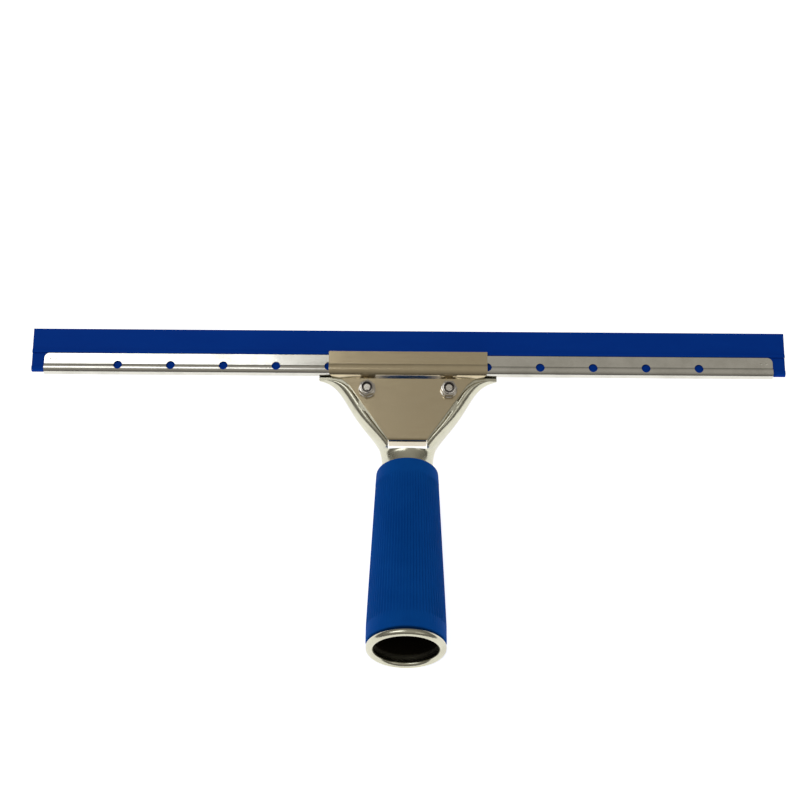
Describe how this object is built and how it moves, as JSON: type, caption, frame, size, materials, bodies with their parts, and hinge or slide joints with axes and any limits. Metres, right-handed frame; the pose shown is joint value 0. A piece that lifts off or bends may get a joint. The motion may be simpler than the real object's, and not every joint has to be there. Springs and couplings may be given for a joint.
{
  "type": "window cleaning squeegee",
  "caption": "Hand squeegee with a steel channel and rubber blade clamped in a screwed jaw on a bent tubular handle with a ribbed grip.",
  "frame": {"origin": "centre of the pole socket's mouth, where the curled rim ends and the straight bore begins", "axes": "+Y along the handle towards the head, +X along the blade, +Z out of the front, the side with the nuts"},
  "size_m": [0.357, 0.1519, 0.052],
  "materials": {
    "frame_steel": "polished stamped stainless steel",
    "jaw_steel": "lightly brushed stainless steel",
    "channel_steel": "bright stainless steel",
    "fastener_steel": "bright zinc plated steel",
    "insert_nylon": "dark nylon",
    "blade_rubber": "smooth satin blue rubber",
    "grip_rubber": "matt ribbed blue rubber"
  },
  "bodies": {
    "handle": {"handle_frame": "frame_steel", "grip_sleeve": "grip_rubber", "clamp_screw_left": "fastener_steel", "clamp_screw_right": "fastener_steel"},
    "front_jaw": {"jaw_plate": "jaw_steel"},
    "rail": {"channel": "channel_steel"},
    "blade": {"blade_rubber": "blade_rubber"},
    "left_washer": {"washer_left": "fastener_steel"},
    "right_washer": {"washer_right": "fastener_steel"},
    "left_nut": {"clamp_nut_left": "fastener_steel", "nut_insert_left": "insert_nylon"},
    "right_nut": {"clamp_nut_right": "fastener_steel", "nut_insert_right": "insert_nylon"}
  },
  "joints": [
    {"name": "channel_slide", "type": "slide", "parent": "handle", "child": "rail", "axis": [1, 0, 0], "range_m": [-0.13, 0.13]},
    {"name": "rubber_slide", "type": "slide", "parent": "rail", "child": "blade", "axis": [1, 0, 0], "range_m": [-0.33, 0.33]},
    {"name": "jaw_open", "type": "hinge", "parent": "handle", "child": "front_jaw", "pos_m": [0, 0.10093, 0.01434], "axis": [1, 0, 0], "range_deg": [0, 4]},
    {"name": "left_washer_lift", "type": "slide", "parent": "handle", "child": "left_washer", "axis": [0, -0.342, 0.9397], "range_m": [0, 0.0021]},
    {"name": "right_washer_lift", "type": "slide", "parent": "handle", "child": "right_washer", "axis": [0, -0.342, 0.9397], "range_m": [0, 0.0021]},
    {"name": "left_nut_turn", "type": "hinge", "parent": "left_washer", "child": "left_nut", "pos_m": [-0.01925, 0.12185, 0.0244], "axis": [0, -0.342, 0.9397], "range_deg": [0, 1080]},
    {"name": "right_nut_turn", "type": "hinge", "parent": "right_washer", "child": "right_nut", "pos_m": [0.01925, 0.12185, 0.0244], "axis": [0, -0.342, 0.9397], "range_deg": [0, 1080]}
  ],
  "couplings": [
    {"joint": "left_washer_lift", "follows": "jaw_open", "m_per_rad": 0.03008},
    {"joint": "right_washer_lift", "follows": "jaw_open", "m_per_rad": 0.03008},
    {"joint": "left_nut_turn", "follows": "jaw_open", "ratio": 270},
    {"joint": "right_nut_turn", "follows": "jaw_open", "ratio": 270}
  ]
}
